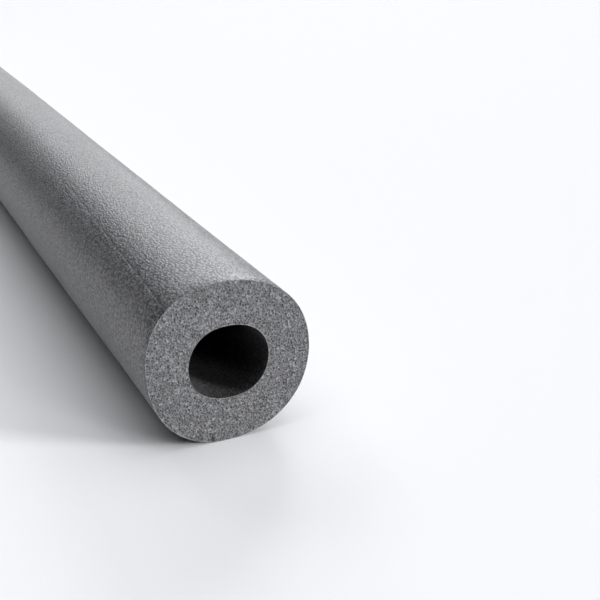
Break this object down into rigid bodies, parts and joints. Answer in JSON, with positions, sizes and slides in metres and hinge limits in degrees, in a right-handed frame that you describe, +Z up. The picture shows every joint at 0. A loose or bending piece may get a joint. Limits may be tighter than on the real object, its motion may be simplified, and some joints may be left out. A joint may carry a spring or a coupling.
{
  "type": "pipe insulation lagging",
  "caption": "Straight length of grey foam pipe lagging: a thick-walled soft tube with square-cut ends and an open bore that slides over a pipe.",
  "frame": {"origin": "on the floor, under the middle of the tube's length", "axes": "+X along the tube towards the end that the picture shows, +Z up, +Y to the right as seen from that end's outside looking along -X"},
  "size_m": [1, 0.049, 0.0489],
  "materials": {
    "grey_foam": "closed-cell foam: fine pebbled skin on the outside and in the bore, open cut cells on the two sawn ends"
  },
  "bodies": {
    "root": {"foam_tube": "grey_foam"}
  },
  "joints": []
}
